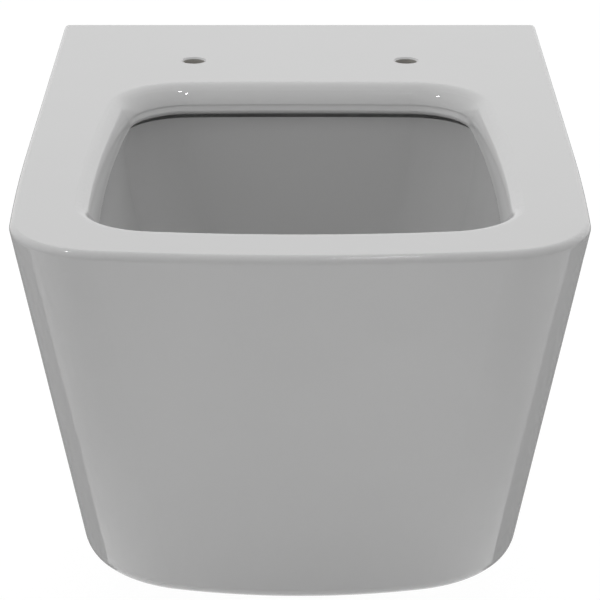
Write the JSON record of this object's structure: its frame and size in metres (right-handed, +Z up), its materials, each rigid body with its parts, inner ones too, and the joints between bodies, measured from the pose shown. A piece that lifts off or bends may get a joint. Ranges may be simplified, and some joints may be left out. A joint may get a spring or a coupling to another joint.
{
  "type": "wall hung toilet pan",
  "caption": "Square rimless wall hung toilet pan with a rolled bowl opening, hinge holes for a seat, concealed side fixings, drain and flush connectors.",
  "frame": {"origin": "on the finished wall, midway between the two wall studs", "axes": "+Z up, -Y out of the wall towards the user, +X to the right of someone who faces the pan"},
  "size_m": [0.3594, 0.5399, 0.34],
  "materials": {
    "glaze": "glossy white vitreous glaze",
    "drain_plastic": "satin white polypropylene",
    "pipe_plastic": "satin white polyethylene",
    "seal_rubber": "matt black seal rubber",
    "fixing_plastic": "satin grey nylon",
    "sleeve_steel": "turned, zinc plated",
    "screw_steel": "stainless, satin",
    "nut_brass": "turned brass",
    "cap_plastic": "glossy white plastic"
  },
  "bodies": {
    "pan_assembly": {"pan": "glaze", "drain_connector": "drain_plastic", "drain_seal": "seal_rubber", "flush_pipe": "pipe_plastic", "inlet_seal": "seal_rubber", "stud_washer_left": "fixing_plastic", "sleeve_liner_left": "fixing_plastic", "fixing_sleeve_left": "sleeve_steel", "screw_bush_left": "fixing_plastic", "screw_nut_left": "nut_brass", "stud_washer_right": "fixing_plastic", "sleeve_liner_right": "fixing_plastic", "fixing_sleeve_right": "sleeve_steel", "screw_bush_right": "fixing_plastic", "screw_nut_right": "nut_brass"},
    "lock_screw_left": {"lock_screw_left": "screw_steel"},
    "side_cap_left": {"side_cap_left": "cap_plastic"},
    "lock_screw_right": {"lock_screw_right": "screw_steel"},
    "side_cap_right": {"side_cap_right": "cap_plastic"}
  },
  "joints": [
    {"name": "lock_screw_left_back_off", "type": "slide", "parent": "pan_assembly", "child": "lock_screw_left", "axis": [-1, 0, 0], "range_m": [0, 0.008]},
    {"name": "side_cap_left_pull_off", "type": "slide", "parent": "pan_assembly", "child": "side_cap_left", "axis": [-1, 0, 0], "range_m": [0, 0.012]},
    {"name": "lock_screw_right_back_off", "type": "slide", "parent": "pan_assembly", "child": "lock_screw_right", "axis": [1, 0, 0], "range_m": [0, 0.008]},
    {"name": "side_cap_right_pull_off", "type": "slide", "parent": "pan_assembly", "child": "side_cap_right", "axis": [1, 0, 0], "range_m": [0, 0.012]}
  ]
}
